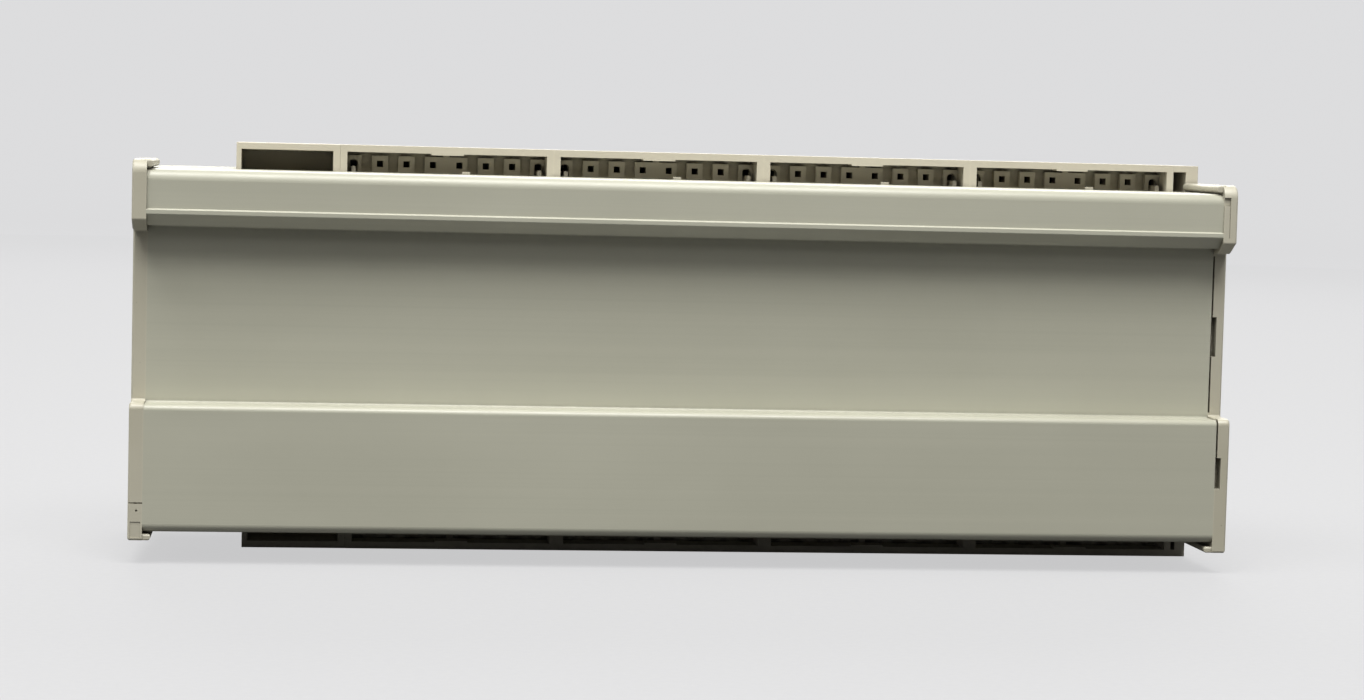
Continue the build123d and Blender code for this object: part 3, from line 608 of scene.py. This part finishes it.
# Printed line over each eight channel lamps, with a tick for each lamp.
GROUP = CHANNELS // 2
RULE_RISE = 5.0 * MM
RULE_END = 2.0
RULE_TICK = 1.4
marks = bmesh.new()
for group in (LAMPS[:GROUP], LAMPS[GROUP:CHANNELS]):
    middle = (group[0] + group[-1]) / 2
    half = abs(group[-1] - group[0]) / 2 / MM + RULE_END
    ink_bar(marks, front_place(middle, LAMP_Z + RULE_RISE), -half, half, -STROKE, STROKE)
    for x in group:
        ink_bar(marks, front_place(x, LAMP_Z + RULE_RISE), -STROKE, STROKE, -RULE_TICK, 0.0)
add_piece("lamp_rules", marks, INK, "housing")

# Ticks and the digits 0 to 9 round each address rotor.
DIGIT_RADIUS = 6.0 * MM
DIGIT_HEIGHT = 1.8
TICK_START = 3.95
TICK_END = 4.6
TICK_STROKE = 0.11
for tag, middle in ROTORS.items():
    dial = bmesh.new()
    for digit in range(10):
        turn = 2 * math.pi * digit / 10
        tick = front_place(middle.x, middle.z, -turn)
        ink_bar(dial, tick, -TICK_STROKE, TICK_STROKE, TICK_START, TICK_END)
        x = middle.x - DIGIT_RADIUS * math.sin(turn)
        z = middle.z + DIGIT_RADIUS * math.cos(turn)
        ink_digit(dial, digit, front_place(x, z), DIGIT_HEIGHT)
    add_piece(f"{tag}_dial_marks", dial, INK, "housing")

# Tick under each end of the termination switch. One stands on a bar, which tells them apart.
HALF_TRAVEL = 2.0 * MM
MARK_DROP = 3.2 * MM
MARK_LENGTH = 1.1
BAR_HALF = 0.9
BAR_FOOT = 1.35
slider_low, slider_high = node_box("termination_slider")
slot_middle = (slider_low.x + slider_high.x) / 2 + HALF_TRAVEL
slot_z = (slider_low.z + slider_high.z) / 2
marks = bmesh.new()
for side in (-1, 1):
    place = front_place(slot_middle + side * HALF_TRAVEL, slot_z - MARK_DROP)
    ink_bar(marks, place, -STROKE, STROKE, -MARK_LENGTH, 0.0)
    if side > 0:
        ink_bar(marks, place, -BAR_HALF, BAR_HALF, -BAR_FOOT, -MARK_LENGTH)
add_piece("slider_marks", marks, INK, "housing")

# Ribs along the free edge of the label cover, for a fingernail.
RIB_PITCH = 1.2 * MM
RIB_HALF = 0.25 * MM
RIB_REAR = 2.3 * MM
RIB_FRONT = 0.3 * MM
RIB_SUNK = 0.1 * MM
RIB_PROUD = 0.25 * MM
RIBS_EACH_SIDE = 5
flap_low, flap_high = node_box("label_flap")
grip_middle = (flap_low.x + flap_high.x) / 2
grip = bmesh.new()
for i in range(-RIBS_EACH_SIDE, RIBS_EACH_SIDE + 1):
    x = grip_middle + RIB_PITCH * i
    low = (x - RIB_HALF, flap_high.y - RIB_REAR, flap_high.z - RIB_SUNK)
    slab(grip, low, (x + RIB_HALF, flap_high.y - RIB_FRONT, flap_high.z + RIB_PROUD))
soften(add_piece("flap_grip", grip, MATERIALS["clear_plastic"], "label_flap"), 0.08)
